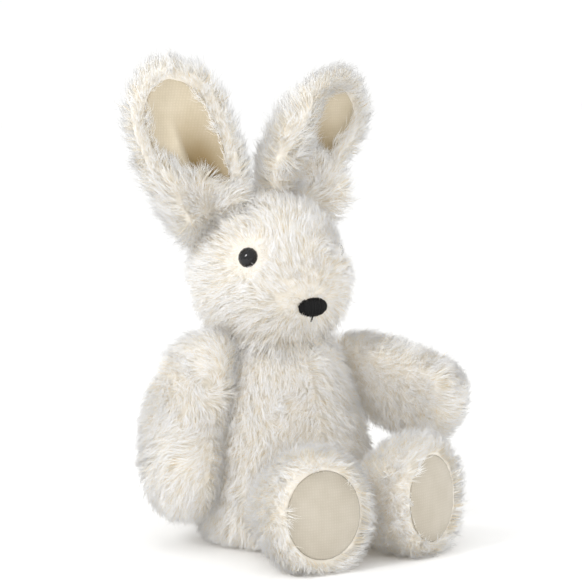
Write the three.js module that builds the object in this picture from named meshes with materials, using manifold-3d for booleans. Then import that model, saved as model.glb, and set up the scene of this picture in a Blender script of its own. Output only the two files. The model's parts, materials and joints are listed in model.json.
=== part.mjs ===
// A sitting plush rabbit with floppy sewn limbs: long-pile fabric panels over fibre stuffing,
// a pellet bag in the seat, velour ear linings and soles, safety eyes and a stitched nose.
// Millimetres, +Z up. The rabbit faces -Y, so its left side is +X. The origin is the middle of
// the flat seat base, on the surface that the rabbit sits on.
import * as THREE from "three";
import { ParametricGeometry } from "three/addons/geometries/ParametricGeometry.js";
import { mergeVertices } from "three/addons/utils/BufferGeometryUtils.js";
import Module from "manifold-3d";

const wasm = await Module();
wasm.setup();

// Driving dimensions.
const PLUSH = 5; // fabric backing with its pile pressed half down
const VELOUR = 1.4; // short-pile fabric of the soles and ear linings
const GAP = 0.4; // between pieces that touch
const NECK_RADIUS = 25; // the seam ring that joins head and torso
const SEAT_HALF_WIDTH = 33; // half axes of the flat seat base panel
const SEAT_HALF_DEPTH = 31;
const GUSSET_HALF_WIDTH = 14; // half the strip that runs from the nose over the head
const CHIN_HEIGHT = 141; // the strip is the chin panel below this, and the gusset above
const EYE_RADIUS = 6;
const EYE_SHANK_RADIUS = 2.2;
const EYE_SHANK_LENGTH = 12;
const WASHER_RADIUS = 7.5;
const WASHER_THICKNESS = 1.6;
const NOSE_HALF_WIDTH = 9;
const NOSE_HALF_HEIGHT = 5.5;
const NOSE_THICKNESS = 5;
const STITCH_RADIUS = 0.8;
const EAR_THICKNESS = 8;
const EAR_ROOT_RADIUS = 8; // the root turns inside a trough in the head
const EAR_TROUGH_RADIUS = 11;
const EAR_TROUGH_LENGTH = 40;
const EAR_FOLD = 0.44; // how far an ear folds each way, in radians
const EAR_RIM = 6; // plush rim that frames the lining
const SOLE_HALF_WIDTH = 23;
const SOLE_HALF_HEIGHT = 25;
const TAIL_RADIUS = 16;
const PELLET_BAG_HEIGHT = 26;
const FAR = 400; // larger than the rabbit, for cutting boxes

const NECK = vec(0, 11, 110); // middle of the neck seam
const EYE_PLACE = vec(29, -8.5, 168); // left eye, on the fabric backing
const EYE_FACING = vec(0.8, -0.56, 0.22);
const NOSE_PLACE = vec(0, -31, 140);
const TAIL_PLACE = vec(0, 52, 26);
const LEFT_SHOULDER = vec(38, 6, 100);
const LEFT_HIP = vec(25, -35.5, 24); // on the hinge line of the left leg
const HIP_TURN = 0.42; // the hinge line follows the torso's curve, this far from straight across
const HIP_SETBACK = 3; // the legs' sewn edge lies this far behind the hinge line
const HIP_BEVEL = 0.83; // half angle of the wedge that the leg tapers to, in radians

const COLOURS = {
  plush: 0xf2efe8,
  velour: 0xe6dcc8,
  stuffing: 0xfafafa,
  pellets: 0xd8d2c4,
  eye: 0x101012,
  washer: 0xe8e8e6,
  thread: 0x17171c,
};

function vec(x, y, z) {
  return new THREE.Vector3(x, y, z);
}

// The same point or direction on the rabbit's right when side is -1.
function sided(v, side) {
  return vec(v.x * side, v.y, v.z);
}

// A closed three.js geometry as a solid to cut and join. Faces that a pole has squeezed to a
// line are dropped, and a geometry that faces inwards is turned round.
function solid(geometry) {
  const bare = geometry.clone();
  for (const name of ["normal", "uv"]) bare.deleteAttribute(name);
  const merged = mergeVertices(bare, 1e-3);
  const corners = Array.from(merged.index.array);
  const kept = [];
  for (let i = 0; i < corners.length; i += 3) {
    const [a, b, c] = corners.slice(i, i + 3);
    if (a !== b && b !== c && c !== a) kept.push(a, b, c);
  }
  const build = (triVerts) =>
    new wasm.Manifold(
      new wasm.Mesh({
        numProp: 3,
        vertProperties: merged.attributes.position.array,
        triVerts: new Uint32Array(triVerts),
      }),
    );
  const made = build(kept);
  return made.volume() > 0 ? made : build(kept.reverse());
}

// A solid back as a three.js geometry.
function geometryOf(made) {
  const mesh = made.getMesh();
  const geometry = new THREE.BufferGeometry();
  geometry.setAttribute("position", new THREE.BufferAttribute(mesh.vertProperties, 3));
  geometry.setIndex(new THREE.BufferAttribute(mesh.triVerts, 1));
  geometry.computeVertexNormals();
  return geometry;
}

// A closed surface from put(u, v, target): v runs round it, and u from one pole to the other.
function closedSurface(put, rings, sides) {
  const turned = (v, u, target) => put(u, v === 1 ? 0 : v, target);
  return solid(new ParametricGeometry(turned, sides, rings));
}

// How an end closes over its rounding length: a quarter circle from 0 to 1, then 1.
function rounded(share) {
  return share < 1 ? Math.sqrt(Math.max(0, 1 - (1 - share) ** 2)) : 1;
}

// A smooth value at a share of the way along evenly spaced values.
function along(values, share) {
  const points = values.map((value, i) => vec(value, i / (values.length - 1), 0));
  const line = new THREE.SplineCurve(points.map((p) => new THREE.Vector2(p.y, p.x)));
  return line.getPoint(share).y;
}

// A stuffed tube round a curved spine. wide and deep are its half sizes along the spine, along
// side and square to it. It closes over startRound and endRound, and inset makes it smaller
// all round, as the fabric's inner face or the stuffing.
function stuffed(spec, inset = 0) {
  const { spine, wide, deep, side, startRound, endRound, rings = 10, sides = 18 } = spec;
  const path = new THREE.CatmullRomCurve3(spine, false, "centripetal");
  const length = path.getLength();
  const span = length - 2 * inset;
  const put = (u, v, target) => {
    const share = (1 - Math.cos(Math.PI * u)) / 2;
    const at = THREE.MathUtils.clamp((inset + share * span) / length, 0, 1);
    const up = path.getTangentAt(at).cross(side).normalize();
    const across = up.clone().cross(path.getTangentAt(at)).normalize();
    const close = Math.min(
      rounded((share * span) / startRound),
      rounded(((1 - share) * span) / endRound),
    );
    const angle = 2 * Math.PI * v;
    const a = Math.max(1, along(wide, at) - inset) * close * Math.cos(angle);
    const b = Math.max(1, along(deep, at) - inset) * close * Math.sin(angle);
    target.copy(path.getPointAt(at)).addScaledVector(across, a).addScaledVector(up, b);
  };
  return closedSurface(put, rings, sides);
}

// Everything on the side of a plane that its normal points to, near the rabbit.
function halfSpace(point, normal) {
  const box = new THREE.BoxGeometry(FAR, FAR, FAR).translate(0, 0, FAR / 2);
  const turn = new THREE.Quaternion().setFromUnitVectors(
    vec(0, 0, 1),
    normal.clone().normalize(),
  );
  return solid(box.applyQuaternion(turn).translate(point.x, point.y, point.z));
}

// A rod about a line through a point, centred on it.
function rod(point, direction, radius, length, sides = 18) {
  const geometry = new THREE.CylinderGeometry(radius, radius, length, sides);
  const turn = new THREE.Quaternion().setFromUnitVectors(
    vec(0, 1, 0),
    direction.clone().normalize(),
  );
  return solid(geometry.applyQuaternion(turn).translate(point.x, point.y, point.z));
}

// The two sides of a plane, with a seam's gap between them: [the normal's side, the other].
function split(made, point, normal) {
  const unit = normal.clone().normalize();
  const ahead = point.clone().addScaledVector(unit, GAP / 2);
  const behind = point.clone().addScaledVector(unit, -GAP / 2);
  return [
    made.intersect(halfSpace(ahead, unit)),
    made.intersect(halfSpace(behind, unit.clone().negate())),
  ];
}

const rabbit = new THREE.Group();

function add(name, made, finish) {
  const material = new THREE.MeshStandardMaterial({
    color: COLOURS[finish],
    roughness: finish === "eye" ? 0.12 : 0.9,
    metalness: 0,
  });
  const mesh = new THREE.Mesh(geometryOf(made), material);
  mesh.name = name;
  rabbit.add(mesh);
}

// ---- Torso: a pear that leans back a little, flat under the seat and at the neck.

const torsoSpec = {
  spine: [vec(0, 0, -12), vec(0, 0, 30), vec(0, 4, 75), vec(0, 11, 122)],
  wide: [37, 46, 48, 46, 41, 34, 28],
  deep: [34, 43, 46, 44, 39, 33, 28],
  side: vec(1, 0, 0),
  startRound: 20,
  endRound: 14,
  rings: 12,
  sides: 28,
};

// Cuts the flat neck and leaves room for what turns against the torso: the arms swing past
// flat flanks, and the legs hinge in front of flat laps.
function torsoShape(inset) {
  const level = vec(0, 0, 1);
  let made = stuffed(torsoSpec, inset);
  made = made.subtract(halfSpace(vec(0, 0, NECK.z - inset), level));
  made = made.intersect(halfSpace(vec(0, 0, inset), level));
  for (const side of [-1, 1]) {
    const out = armAxis(side);
    const flank = sided(LEFT_SHOULDER, side).addScaledVector(out, -GAP - inset);
    made = made.subtract(halfSpace(flank, out));
    const lap = hipFacing(side);
    const front = sided(LEFT_HIP, side).addScaledVector(lap, -HIP_SETBACK - GAP - inset);
    made = made.subtract(halfSpace(front, lap));
  }
  return made;
}

// The way the torso faces where a leg is sewn on.
function hipFacing(side) {
  return vec(Math.sin(HIP_TURN) * side, -Math.cos(HIP_TURN), 0);
}

// The axis an arm swings about, pointing out and a little back, so that a raised arm also
// spreads outwards past the leg.
function armAxis(side) {
  return sided(vec(0.9, 0.4, 0.17), side).normalize();
}

const seatBase = (radiusShare, low, high) => {
  const disc = new THREE.CylinderGeometry(1, 1, high - low, 32).rotateX(Math.PI / 2);
  disc.scale(SEAT_HALF_WIDTH * radiusShare, SEAT_HALF_DEPTH * radiusShare, 1);
  return solid(disc.translate(0, 0, (low + high) / 2));
};

const torsoHollow = torsoShape(PLUSH);
const torsoCover = torsoShape(0)
  .subtract(torsoHollow)
  .subtract(seatBase(1 + GAP / SEAT_HALF_WIDTH, -1, PLUSH + GAP));
const [torsoLeft, torsoRight] = split(torsoCover, vec(0, 0, 0), vec(1, 0, 0));
const sideSeam = [vec(0, 3, 60), vec(0, 1, -0.08)];
const [backLeft, frontLeft] = split(torsoLeft, ...sideSeam);
const [backRight, frontRight] = split(torsoRight, ...sideSeam);
add("torso_front_left", frontLeft, "plush");
add("torso_front_right", frontRight, "plush");
add("torso_back_left", backLeft, "plush");
add("torso_back_right", backRight, "plush");
add("seat_base", seatBase(1, 0, PLUSH), "plush");

const pelletTop = PLUSH + PELLET_BAG_HEIGHT;
const torsoFilling = torsoShape(PLUSH + GAP);
const bagRoom = torsoShape(PLUSH + 3);
add(
  "seat_pellet_bag",
  bagRoom.subtract(halfSpace(vec(0, 0, pelletTop), vec(0, 0, 1))),
  "pellets",
);
add(
  "torso_stuffing",
  torsoFilling.intersect(halfSpace(vec(0, 0, pelletTop + GAP), vec(0, 0, 1))),
  "stuffing",
);

// ---- Tail: a stuffed ball sewn to the back.

const tailBall = (inset) => {
  const ball = new THREE.SphereGeometry(TAIL_RADIUS - inset, 14, 9);
  return solid(ball.translate(TAIL_PLACE.x, TAIL_PLACE.y, TAIL_PLACE.z));
};
const torsoClear = stuffed(torsoSpec, -GAP);
add("tail_cover", tailBall(0).subtract(tailBall(PLUSH)).subtract(torsoClear), "plush");
add("tail_stuffing", tailBall(PLUSH + GAP).subtract(torsoClear), "stuffing");

// ---- Head: an egg from the nape to the muzzle, on a short neck.

const headSpec = {
  spine: [vec(0, 58, 157), vec(0, 15, 156), vec(0, -32, 143)],
  wide: [36, 40, 41, 40, 36, 30, 25],
  deep: [36, 41, 42, 41, 36, 29, 24],
  side: vec(1, 0, 0),
  startRound: 34,
  endRound: 20,
  rings: 12,
  sides: 24,
};

function headShape(inset) {
  const neck = rod(
    vec(NECK.x, NECK.y, NECK.z + 20 + GAP + inset),
    vec(0, 0, 1),
    NECK_RADIUS - inset,
    40,
  );
  let made = stuffed(headSpec, inset).add(neck);
  made = made.intersect(halfSpace(vec(0, 0, NECK.z + GAP + inset), vec(0, 0, 1)));
  for (const side of [-1, 1]) made = made.subtract(earTrough(side, inset));
  return made;
}

// ---- Ears: cupped leaves on a curved spine that starts at the hinge line.

const EARS = {
  // The left ear flops outwards and back, deeply cupped; the right one stands up, more open.
  left: {
    side: 1,
    spine: [vec(22, 34, 174), vec(21.5, 31, 213), vec(38.5, 31, 242), vec(75, 35, 247)],
    facing: vec(0.24, -0.97, 0),
    half: [17, 22.5, 30, 32, 31, 29, 26, 19],
    cup: [0.5, 0.95, 1.2, 1.25, 1.25, 1.1, 0.9, 0.7],
  },
  right: {
    side: -1,
    spine: [vec(-23, 34, 174), vec(-38, 31, 209), vec(-55, 27, 243), vec(-71, 24, 277)],
    facing: vec(-0.34, -0.92, 0),
    half: [15, 21, 26, 28.5, 29, 28, 25, 19],
    cup: [0.5, 0.95, 1.1, 0.95, 0.75, 0.6, 0.5, 0.4],
  },
};

// The directions along, across and in front of an ear at a share of its spine.
function earFrame(ear, share) {
  const path = new THREE.CatmullRomCurve3(ear.spine);
  const up = path.getTangentAt(share);
  const across = ear.facing.clone().cross(up).normalize();
  const front = up.clone().cross(across).normalize();
  return { at: path.getPointAt(share), up, across, front };
}

// The hinge line of an ear: it lies across the ear, a root radius in from the lower edge.
function earHinge(side) {
  const ear = side > 0 ? EARS.left : EARS.right;
  const length = new THREE.CatmullRomCurve3(ear.spine).getLength();
  return earFrame(ear, EAR_ROOT_RADIUS / length);
}

// Ways round a leaf's section, as [across, through] from -1 to 1: a rounded one for stuffed
// fabric, and a flat one with square edges for a cut pocket and the thin fabric in it.
function roundSection(v) {
  const soften = (x) => Math.sign(x) * Math.abs(x) ** 0.8;
  return [soften(Math.cos(2 * Math.PI * v)), soften(Math.sin(2 * Math.PI * v))];
}

function flatSection(v, sides) {
  const half = sides / 2;
  const i = Math.round(v * sides) % sides;
  const across = 1 - (2 * (i % half)) / (half - 1);
  return i < half ? [across, 1] : [-across, -1];
}

// A cupped leaf: the fabric curls forwards by the cup angle on each side. start and stop are
// distances along the spine, trim takes the edge in, and low to high are the leaf's faces in
// front of the spine.
function earLeaf(ear, { start, stop, trim = 0, low, high, section, rings, sides }) {
  const length = new THREE.CatmullRomCurve3(ear.spine).getLength();
  const put = (u, v, target) => {
    const t = start + ((1 - Math.cos(Math.PI * u)) / 2) * (length - stop - start);
    const share = THREE.MathUtils.clamp(t / length, 0, 1);
    const { at, across, front } = earFrame(ear, share);
    const close = Math.min(rounded((t - start) / 9), rounded((length - stop - t) / 22));
    const width = Math.max(2, along(ear.half, share) - trim) * close;
    const curl = along(ear.cup, share) / along(ear.half, share);
    const [aside, through] = section(v, sides);
    const bend = curl * width * aside;
    const h = (low + high) / 2 + ((high - low) / 2) * through;
    target
      .copy(at)
      .addScaledVector(across, (1 / curl - h) * Math.sin(bend))
      .addScaledVector(front, (1 / curl) * (1 - Math.cos(bend)) + h * Math.cos(bend));
  };
  return closedSurface(put, rings, sides);
}

// Where an ear's root turns: a round groove along the hinge line, widened for the fabric.
function earTrough(side, inset) {
  const { at, across } = earHinge(side);
  return rod(at, across, EAR_TROUGH_RADIUS + inset, EAR_TROUGH_LENGTH + 2 * inset, 16);
}

// The head, without the trough, at steps of an ear's fold: what the ear is trimmed by, so that
// its base clears the head wherever it is folded to.
function headPassing(side) {
  const { at, across } = earHinge(side);
  const clear = stuffed(headSpec, -GAP).subtract(earTrough(side, -GAP));
  const steps = 5;
  const passes = [];
  for (let i = 0; i < steps; i += 1) {
    const angle = EAR_FOLD * ((2 * i) / (steps - 1) - 1);
    const turn = new THREE.Matrix4().makeRotationAxis(across, angle);
    const move = new THREE.Matrix4().makeTranslation(at);
    move.multiply(turn).multiply(new THREE.Matrix4().makeTranslation(at.clone().negate()));
    passes.push(clear.transform(move.elements));
  }
  return passes;
}

const headCover = headShape(0).subtract(headShape(PLUSH));
const strip = solid(new THREE.BoxGeometry(2 * GUSSET_HALF_WIDTH, FAR, FAR));
const wideStrip = solid(new THREE.BoxGeometry(2 * (GUSSET_HALF_WIDTH + GAP), FAR, FAR));

// Each eye stands on the backing, in a pocket of the pile, and its shank goes in to a washer.
function eyeFrame(side) {
  return {
    place: sided(EYE_PLACE, side),
    facing: sided(EYE_FACING, side).normalize(),
  };
}

function onAxis({ place, facing }, geometry) {
  const turn = new THREE.Quaternion().setFromUnitVectors(vec(0, 1, 0), facing);
  return solid(geometry.applyQuaternion(turn).translate(place.x, place.y, place.z));
}

function lathe(points, segments) {
  return new THREE.LatheGeometry(
    points.map(([x, y]) => new THREE.Vector2(x, y)),
    segments,
  );
}

// A domed button on a shank, turned about its own axis.
function eyeSolid(frame) {
  const dome = [];
  for (let i = 0; i <= 6; i += 1) {
    const angle = (Math.PI / 2) * (i / 6);
    dome.push([EYE_RADIUS * Math.cos(angle), 1 + (EYE_RADIUS - 1.2) * Math.sin(angle)]);
  }
  const profile = [
    [0, -EYE_SHANK_LENGTH],
    [EYE_SHANK_RADIUS, -EYE_SHANK_LENGTH],
    [EYE_SHANK_RADIUS, 0],
    [EYE_RADIUS - 0.6, 0],
    ...dome.slice(0, -1),
    [0, EYE_RADIUS - 0.2],
  ];
  return onAxis(frame, lathe(profile, 14));
}

function eyeWasher(frame) {
  const low = -8 - WASHER_THICKNESS;
  const inner = EYE_SHANK_RADIUS + 0.2;
  const profile = [
    [inner, low],
    [WASHER_RADIUS, low],
    [WASHER_RADIUS, -8],
    [inner, -8],
    [inner, low],
  ];
  return onAxis(frame, lathe(profile, 14));
}

// Room for an eye in the head: a pocket for the button and washer, and a hole for the shank.
function eyeRoom(frame) {
  const pocket = rod(
    frame.place.clone().addScaledVector(frame.facing, 10 - GAP),
    frame.facing,
    EYE_RADIUS + GAP,
    20,
    14,
  );
  const shank = rod(
    frame.place.clone().addScaledVector(frame.facing, -6),
    frame.facing,
    EYE_SHANK_RADIUS + GAP,
    14,
    10,
  );
  const washer = rod(
    frame.place.clone().addScaledVector(frame.facing, -9),
    frame.facing,
    WASHER_RADIUS + GAP,
    4,
    14,
  );
  return pocket.add(shank).add(washer);
}

const eyeFrames = { left: eyeFrame(1), right: eyeFrame(-1) };

// The nose is a pad of close stitches, with one stitch below it.
function nosePad(grow) {
  const pad = new THREE.SphereGeometry(1, 14, 8);
  pad.scale(NOSE_HALF_WIDTH + grow, NOSE_THICKNESS / 2 + grow, NOSE_HALF_HEIGHT + grow);
  return solid(pad.translate(NOSE_PLACE.x, NOSE_PLACE.y, NOSE_PLACE.z));
}

function mouthStitch(grow) {
  const stitch = new THREE.CapsuleGeometry(STITCH_RADIUS + grow, 5, 4, 10);
  stitch.rotateX(-0.35);
  return solid(
    stitch.translate(NOSE_PLACE.x, NOSE_PLACE.y + 1.2, NOSE_PLACE.z - NOSE_HALF_HEIGHT - 4.2),
  );
}

const trimRoom = eyeRoom(eyeFrames.left)
  .add(eyeRoom(eyeFrames.right))
  .add(nosePad(GAP))
  .add(mouthStitch(GAP));
const headFabric = headCover.subtract(trimRoom);
const centreStrip = headFabric.intersect(strip);
const [gusset, chin] = split(centreStrip, vec(0, 0, CHIN_HEIGHT), vec(0, 0, 1));
const [sideLeft, sideRight] = split(headFabric.subtract(wideStrip), vec(0, 0, 0), vec(1, 0, 0));
add("head_side_left", sideLeft, "plush");
add("head_side_right", sideRight, "plush");
add("head_gusset", gusset, "plush");
add("chin_panel", chin, "plush");
add("head_stuffing", headShape(PLUSH + GAP).subtract(trimRoom), "stuffing");
for (const [name, frame] of Object.entries(eyeFrames)) {
  add(`eye_${name}`, eyeSolid(frame), "eye");
  add(`eye_washer_${name}`, eyeWasher(frame), "washer");
}
add("nose_stitching", nosePad(0), "thread");
add("mouth_stitch", mouthStitch(0).subtract(nosePad(GAP)), "thread");

for (const [name, ear] of Object.entries(EARS)) {
  const half = EAR_THICKNESS / 2;
  const outside = { start: 0, stop: 0, low: -half, high: half, section: roundSection };
  let whole = earLeaf(ear, { ...outside, rings: 14, sides: 20 });
  for (const pass of headPassing(ear.side)) whole = whole.subtract(pass);
  const pocket = { start: 24, stop: EAR_RIM, trim: EAR_RIM, low: 1.2, high: 14 };
  const lining = { start: 25, stop: EAR_RIM + 1, trim: EAR_RIM + 1, low: 2, high: 2 + VELOUR };
  const flat = { section: flatSection, rings: 12, sides: 20 };
  add(`ear_back_${name}`, whole.subtract(earLeaf(ear, { ...pocket, ...flat })), "plush");
  add(`ear_lining_${name}`, earLeaf(ear, { ...lining, ...flat }), "velour");
}

// ---- Arms: the right one hangs at the side, and the left one reaches forwards and out.

const ARMS = {
  left: {
    spine: [vec(37, 12, 100), vec(54, -8, 93), vec(69, -34, 84), vec(77.5, -57, 74.5)],
    wide: [16, 19, 21, 22, 22, 20],
    deep: [16, 18, 20, 21, 22, 21],
    side: vec(0.85, 0.5, 0.15),
  },
  right: {
    spine: [vec(-37, 4, 118), vec(-52, 13, 86), vec(-59, 12, 54), vec(-56, -3, 23)],
    wide: [15, 19, 20, 21, 21, 18],
    deep: [18, 22, 23, 25, 26, 22],
    side: vec(0.9, 0.2, 0.3),
  },
};
for (const [name, how] of Object.entries(ARMS)) {
  const side = name === "left" ? 1 : -1;
  const spec = { ...how, startRound: 20, endRound: 18, rings: 10, sides: 16 };
  const axis = armAxis(side);
  const inner = (inset) =>
    stuffed(spec, inset).intersect(
      halfSpace(sided(LEFT_SHOULDER, side).addScaledVector(axis, inset), axis),
    );
  const cover = inner(0).subtract(inner(PLUSH));
  const [outer, inside] = split(cover, how.spine[2], axis);
  add(`arm_outer_${name}`, outer, "plush");
  add(`arm_inner_${name}`, inside, "plush");
  add(`arm_stuffing_${name}`, inner(PLUSH + GAP), "stuffing");
}

// ---- Legs: short tubes sewn to the torso's front edge, each ending in an oval sole.

const LEGS = {
  left: { side: 1, sole: vec(46, -87, 33), splay: 0.4 },
  right: { side: -1, sole: vec(-32, -94, 33), splay: 0.08 },
};
for (const [name, { side, sole, splay }] of Object.entries(LEGS)) {
  const hip = sided(LEFT_HIP, side);
  const facing = vec(Math.sin(splay) * side, -Math.cos(splay), 0.06).normalize();
  const across = vec(Math.cos(splay), Math.sin(splay) * side, 0);
  const back = sole.clone().addScaledVector(facing, -22);
  const spec = {
    spine: [hip.clone().addScaledVector(facing, -8), hip, back, sole],
    wide: [15, 17, 20, 24, 27.5, 28],
    deep: [20, 22, 26, 30, 33, 32],
    side: across,
    startRound: 1,
    endRound: 1,
    rings: 11,
    sides: 18,
  };
  const edge = hip.clone().addScaledVector(hipFacing(side), -HIP_SETBACK);
  const shape = (inset) => {
    let made = stuffed(spec, inset)
      .subtract(halfSpace(sole.clone().addScaledVector(facing, -inset), facing))
      .intersect(halfSpace(vec(0, 0, inset), vec(0, 0, 1)));
    for (const up of [-1, 1]) {
      const out = hipFacing(side).multiplyScalar(Math.sin(HIP_BEVEL));
      out.z = -up * Math.cos(HIP_BEVEL);
      made = made.intersect(halfSpace(edge.clone().addScaledVector(out, inset), out));
    }
    return made;
  };
  const soleRoom = (grow) => {
    const pad = new THREE.CylinderGeometry(1, 1, 2 * (VELOUR + grow), 20);
    pad.scale(SOLE_HALF_WIDTH + grow, 1, SOLE_HALF_HEIGHT + grow);
    const basis = new THREE.Matrix4().makeBasis(
      across.clone(),
      facing.clone(),
      across.clone().cross(facing),
    );
    return solid(pad.applyMatrix4(basis).translate(sole.x, sole.y, sole.z));
  };
  const pad = soleRoom(0).subtract(halfSpace(sole, facing));
  const cover = shape(0).subtract(shape(PLUSH)).subtract(soleRoom(GAP));
  const [one, other] = split(cover, sole, across);
  add(`leg_outer_${name}`, side > 0 ? one : other, "plush");
  add(`leg_inner_${name}`, side > 0 ? other : one, "plush");
  add(`leg_stuffing_${name}`, shape(PLUSH + GAP), "stuffing");
  add(`sole_${name}`, pad, "velour");
}

export default rabbit;
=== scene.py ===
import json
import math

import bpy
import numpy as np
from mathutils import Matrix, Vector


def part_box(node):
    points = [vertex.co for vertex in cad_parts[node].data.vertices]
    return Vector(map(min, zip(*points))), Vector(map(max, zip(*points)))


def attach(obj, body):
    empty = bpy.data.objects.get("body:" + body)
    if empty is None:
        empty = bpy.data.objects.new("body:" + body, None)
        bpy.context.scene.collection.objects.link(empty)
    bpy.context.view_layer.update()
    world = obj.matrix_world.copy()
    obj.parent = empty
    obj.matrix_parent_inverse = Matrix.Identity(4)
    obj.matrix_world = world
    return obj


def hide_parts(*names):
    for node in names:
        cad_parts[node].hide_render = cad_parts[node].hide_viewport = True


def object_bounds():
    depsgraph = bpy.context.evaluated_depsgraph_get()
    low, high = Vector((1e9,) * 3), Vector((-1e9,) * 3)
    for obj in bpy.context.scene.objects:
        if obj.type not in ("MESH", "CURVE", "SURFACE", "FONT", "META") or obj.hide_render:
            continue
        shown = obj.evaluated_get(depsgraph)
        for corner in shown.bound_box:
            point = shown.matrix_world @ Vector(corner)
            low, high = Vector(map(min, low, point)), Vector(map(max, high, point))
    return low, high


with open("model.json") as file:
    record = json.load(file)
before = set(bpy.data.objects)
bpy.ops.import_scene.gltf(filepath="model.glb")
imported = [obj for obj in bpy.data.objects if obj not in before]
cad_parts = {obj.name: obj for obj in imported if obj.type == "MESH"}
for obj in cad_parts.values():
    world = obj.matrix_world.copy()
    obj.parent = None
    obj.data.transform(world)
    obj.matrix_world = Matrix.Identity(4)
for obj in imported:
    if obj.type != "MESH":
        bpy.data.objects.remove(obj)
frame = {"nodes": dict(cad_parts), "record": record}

# %% [markdown]
# # A sitting plush rabbit
#
# The toy is sewn from long-pile fabric and stuffed with loose fibre. Its pieces are:
#
# - the padded bodies: torso, head, ears, arms, legs and tail, each a fabric skin over stuffing;
# - the pile: more than a hundred thousand strands of fibre, gathered in small locks;
# - the short velour of the ear linings and the soles;
# - the two glossy safety eyes, and the nose and mouth, which are embroidered;
# - the stuffing, the bag of pellets and the eyes' washers, which don't show from outside.
#
# Every place and size comes from the CAD frame that is loaded above. All lengths are in metres.

CAD_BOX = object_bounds()
MM = 0.001
# Every random draw comes from here or has its own fixed seed, so each run makes the same toy.
DRAWS = np.random.default_rng(20)
scene = bpy.context.scene
print("CAD box", [[round(x, 4) for x in corner] for corner in CAD_BOX])
print(len(frame["nodes"]), "CAD nodes")

# %% [markdown]
# ## Small tools for meshes
#
# A mesh is only arrays: points, and the corners of its faces. These helpers read the arrays of
# a CAD node and put new arrays into a new object, so that every shape below can be worked out
# with whole numpy arrays at once.


# %% Arrays in and out of meshes
def points_of(thing):
    """The vertices of a mesh object, as rows of x, y, z."""
    flat = np.empty(len(thing.data.vertices) * 3, np.float32)
    thing.data.vertices.foreach_get("co", flat)
    return flat.reshape(-1, 3).astype(float)


def triangles_of(thing):
    """The corners of a mesh object's faces, each face cut into triangles."""
    thing.data.calc_loop_triangles()
    flat = np.empty(len(thing.data.loop_triangles) * 3, np.int32)
    thing.data.loop_triangles.foreach_get("vertices", flat)
    return flat.reshape(-1, 3)


def new_piece(name, points, faces):
    """A new mesh object, smoothly shaded. Each array in faces has faces of as many corners."""
    mesh = bpy.data.meshes.new(name)
    sizes = np.concatenate([np.full(len(f), f.shape[1]) for f in faces])
    corners = np.concatenate([f.ravel() for f in faces]).astype(np.int32)
    mesh.vertices.add(len(points))
    mesh.vertices.foreach_set("co", np.asarray(points, np.float32).ravel())
    mesh.loops.add(len(corners))
    mesh.loops.foreach_set("vertex_index", corners)
    mesh.polygons.add(len(sizes))
    starts = np.concatenate([[0], np.cumsum(sizes)[:-1]]).astype(np.int32)
    mesh.polygons.foreach_set("loop_start", starts)
    mesh.polygons.foreach_set("use_smooth", np.full(len(sizes), True))
    mesh.update(calc_edges=True)
    piece = bpy.data.objects.new(name, mesh)
    scene.collection.objects.link(piece)
    return piece


def unit(v):
    """Each row divided by its length."""
    v = np.asarray(v, float)
    return v / np.maximum(np.linalg.norm(v, axis=-1, keepdims=True), 1e-12)


def move_points(piece, points):
    """Puts a mesh object's vertices at these places."""
    piece.data.vertices.foreach_set("co", points.astype(np.float32).ravel())
    piece.data.update()


def finished(piece):
    """The piece with its modifiers worked into its mesh."""
    shown = piece.evaluated_get(bpy.context.evaluated_depsgraph_get())
    mesh = bpy.data.meshes.new_from_object(shown)
    piece.modifiers.clear()
    piece.data = mesh
    return piece


def rising(distance, low, high):
    """0 up to low and 1 from high, with a smooth step between them."""
    share = np.clip((distance - low) / (high - low), 0, 1)
    return share**2 * (3 - 2 * share)


def flat_frame(points, outward):
    """The middle of a flat thing, its two long directions, its normal and its half sizes.

    The normal is the direction in which the points spread least. The first long direction is
    level, and the second is at a right angle to both."""
    centre = (points.min(0) + points.max(0)) / 2
    normal = np.linalg.svd(points - points.mean(0), full_matrices=False)[2][2]
    normal = normal * np.sign(normal @ outward)
    across = unit(np.cross([0, 0, 1.0], normal))
    up = np.cross(normal, across)
    local = (points - centre) @ np.stack([across, up, normal], 1)
    centre = centre + normal * (local[:, 2].max() + local[:, 2].min()) / 2
    return centre, across, up, normal, np.abs(local).max(0)


def middle(node):
    """The middle of a CAD node's box."""
    low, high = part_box(node)
    return np.array((low + high) / 2)


print("the eyes' middles", middle("eye_left"), middle("eye_right"))

# %% [markdown]
# ## Materials
#
# A material is named for what it is made of. A colour is written as sRGB hex, which is how one
# reads it off a fabric card, and one function turns it into the linear values that the shader
# works with. Another adds a node with its settings and links. A value that is the same all over
# the surface is set on the shader's own socket, and only what varies gets nodes.


# %% Colour and node helpers
def linear(code):
    """An sRGB hex colour as linear red, green, blue and alpha, by the sRGB curve."""
    share = np.array([int(code[i : i + 2], 16) for i in (0, 2, 4)]) / 255
    curve = np.where(share <= 0.04045, share / 12.92, ((share + 0.055) / 1.055) ** 2.4)
    return [*curve.tolist(), 1.0]


def add(tree, kind, settings=None, links=None, **values):
    """A new node. settings are its own properties, links feed its inputs, and values fill them."""
    node = tree.nodes.new(kind)
    for name, value in (settings or {}).items():
        setattr(node, name, value)
    for name, value in values.items():
        node.inputs[name.replace("_", " ")].default_value = value
    for name, source in (links or {}).items():
        tree.links.new(source, node.inputs[name])
    return node


def material(name, colour, **shader):
    """A new material with a principled shader of that colour, and its node tree."""
    made = bpy.data.materials.new(name)
    made.use_nodes = True
    tree = made.node_tree
    surface = tree.nodes["Principled BSDF"]
    surface.inputs["Base Color"].default_value = linear(colour)
    for key, value in shader.items():
        surface.inputs[key.replace("_", " ")].default_value = value
    return made, tree, surface


print("middle grey 808080 is", round(linear("808080")[0], 3), "in linear light")

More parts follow.
